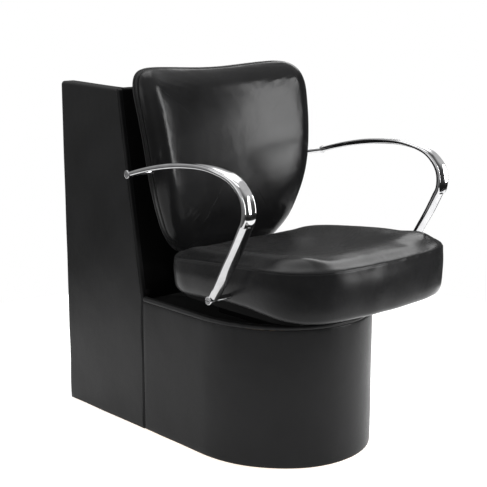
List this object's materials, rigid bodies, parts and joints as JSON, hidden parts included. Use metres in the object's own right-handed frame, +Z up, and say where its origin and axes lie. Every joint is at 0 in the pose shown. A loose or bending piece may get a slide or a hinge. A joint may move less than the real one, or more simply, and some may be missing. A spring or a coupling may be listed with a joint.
{
  "type": "salon dryer chair",
  "caption": "Padded salon armchair on a D-shaped box pedestal, with an upright box column behind the back whose open top carries a hood dryer.",
  "frame": {"origin": "on the floor, under the middle of the bounding box", "axes": "+Z up, sitter faces -Y, sitter's left is +X"},
  "size_m": [0.667, 0.936, 0.9051],
  "materials": {
    "plywood": "matte",
    "black_lacquered_wood": "satin",
    "black_vinyl": "satin",
    "upholstery": "satin",
    "polished_aluminium": "polished",
    "bright_steel": "polished",
    "zinc_steel": "satin",
    "black_steel": "satin",
    "black_plastic": "matte"
  },
  "bodies": {
    "chair": {"tower_left_board": "plywood", "tower_right_board": "plywood", "tower_front_lower_board": "plywood", "tower_front_upper_board": "plywood", "tower_base_board": "plywood", "wing_battens": "plywood", "dryer_shelf": "plywood", "shelf_cleats": "plywood", "tower_rear_panel": "plywood", "rear_panel_cleats": "plywood", "pedestal_left_board": "plywood", "pedestal_right_board": "plywood", "pedestal_front_bend": "plywood", "pedestal_rear_board": "plywood", "pedestal_bottom_board": "plywood", "pedestal_deck_board": "plywood", "seat_left_rail": "plywood", "seat_right_rail": "plywood", "back_shell": "plywood", "riser_front_rail": "black_lacquered_wood", "riser_rear_rail": "black_lacquered_wood", "riser_left_rail": "black_lacquered_wood", "riser_right_rail": "black_lacquered_wood", "seat_base_panel": "black_lacquered_wood", "tower_left_cover": "black_vinyl", "tower_right_cover": "black_vinyl", "tower_front_cover": "black_vinyl", "tower_rear_cover": "black_vinyl", "pedestal_cover": "black_vinyl", "pedestal_rim_roll": "black_vinyl", "pedestal_deck_cover": "black_vinyl", "seat_cushion": "upholstery", "back_front_cushion": "upholstery", "back_side_band": "upholstery", "back_rear_pad": "upholstery", "arm_left": "polished_aluminium", "arm_right": "polished_aluminium", "arm_left_spacers": "polished_aluminium", "arm_right_spacers": "polished_aluminium", "arm_left_bolts": "bright_steel", "arm_right_bolts": "bright_steel", "rear_panel_screws": "bright_steel", "joining_bolts": "zinc_steel", "seat_bolts": "zinc_steel", "strap_bolts": "zinc_steel", "glide_inserts": "zinc_steel", "back_left_arm_block": "zinc_steel", "back_right_arm_block": "zinc_steel", "back_left_strap": "black_steel", "back_right_strap": "black_steel"},
    "glide_rear_left": {"levelling_glide_rear_left": "black_plastic"},
    "glide_rear_right": {"levelling_glide_rear_right": "black_plastic"},
    "glide_front_left": {"levelling_glide_front_left": "black_plastic"},
    "glide_front_right": {"levelling_glide_front_right": "black_plastic"}
  },
  "joints": [
    {"name": "glide_rear_left_screw", "type": "slide", "parent": "chair", "child": "glide_rear_left", "axis": [0, 0, -1], "range_m": [0, 0.01]},
    {"name": "glide_rear_right_screw", "type": "slide", "parent": "chair", "child": "glide_rear_right", "axis": [0, 0, -1], "range_m": [0, 0.01]},
    {"name": "glide_front_left_screw", "type": "slide", "parent": "chair", "child": "glide_front_left", "axis": [0, 0, -1], "range_m": [0, 0.01]},
    {"name": "glide_front_right_screw", "type": "slide", "parent": "chair", "child": "glide_front_right", "axis": [0, 0, -1], "range_m": [0, 0.01]}
  ]
}
